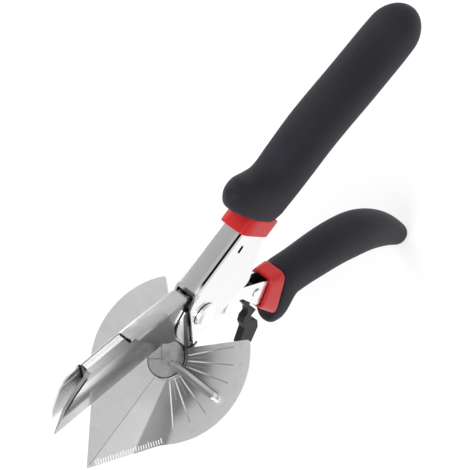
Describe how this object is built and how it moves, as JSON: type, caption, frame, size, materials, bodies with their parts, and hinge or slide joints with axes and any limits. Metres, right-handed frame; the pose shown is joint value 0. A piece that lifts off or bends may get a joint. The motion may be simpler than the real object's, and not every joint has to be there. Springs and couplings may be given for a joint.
{
  "type": "mitre shears",
  "caption": "Hand shears for cutting trim at an angle: a flat blade closes on a round anvil set in an angle plate with a swinging fence, with soft grips and a catch.",
  "frame": {"origin": "centre of the round anvil's top face", "axes": "+Z square out of the anvil and the angle plate, +X towards the handles, -Y the side that the fence stands out to"},
  "size_m": [0.2006, 0.0624, 0.1495],
  "materials": {
    "anvil_lever": "polished",
    "anvil_carrier": "brushed",
    "angle_plate": "brushed, with angle lines and a ruler",
    "anvil": "turned",
    "anvil_retainer": "plain",
    "plate_rivet_front": "plain",
    "plate_rivet_rear": "plain",
    "pivot_bolt": "polished",
    "pivot_nut": "bright",
    "pivot_washer": "plain",
    "pivot_bush": "plain",
    "torsion_spring": "drawn wire",
    "upper_collar": "satin",
    "upper_grip": "soft matt",
    "fence": "ground",
    "fence_rivet": "plain",
    "blade_lever": "polished",
    "blade": "ground",
    "blade_spacer": "plain",
    "blade_screw_front": "bright",
    "blade_screw_rear": "bright",
    "lower_collar": "satin",
    "lower_grip": "soft matt",
    "latch_pin": "plain",
    "safety_latch": "matt"
  },
  "bodies": {
    "anvil_side": {"anvil_lever": "anvil_lever", "anvil_carrier": "anvil_carrier", "angle_plate": "angle_plate", "plate_rivet_front": "plate_rivet_front", "plate_rivet_rear": "plate_rivet_rear", "pivot_bolt": "pivot_bolt", "pivot_nut": "pivot_nut", "pivot_washer": "pivot_washer", "pivot_bush": "pivot_bush", "torsion_spring": "torsion_spring", "upper_collar": "upper_collar", "upper_grip": "upper_grip"},
    "fence_turntable": {"anvil": "anvil", "anvil_retainer": "anvil_retainer", "fence": "fence", "fence_rivet": "fence_rivet"},
    "blade_side": {"blade_lever": "blade_lever", "blade": "blade", "blade_spacer": "blade_spacer", "blade_screw_front": "blade_screw_front", "blade_screw_rear": "blade_screw_rear", "lower_collar": "lower_collar", "lower_grip": "lower_grip", "latch_pin": "latch_pin"},
    "latch": {"safety_latch": "safety_latch"}
  },
  "joints": [
    {"name": "blade_pivot", "type": "hinge", "parent": "anvil_side", "child": "blade_side", "pos_m": [0.0208, 0, 0.0056], "axis": [0, -1, 0], "range_deg": [0, 28], "stiffness_Nm_per_rad": 0.12, "springref_deg": -28.65},
    {"name": "fence_turn", "type": "hinge", "parent": "anvil_side", "child": "fence_turntable", "pos_m": [0, 0, 0], "axis": [0, 0, 1], "range_deg": [-45, 45]},
    {"name": "latch_swing", "type": "hinge", "parent": "blade_side", "child": "latch", "pos_m": [0.03797, 0, -0.02025], "axis": [0, 1, 0], "range_deg": [0, 45]}
  ]
}
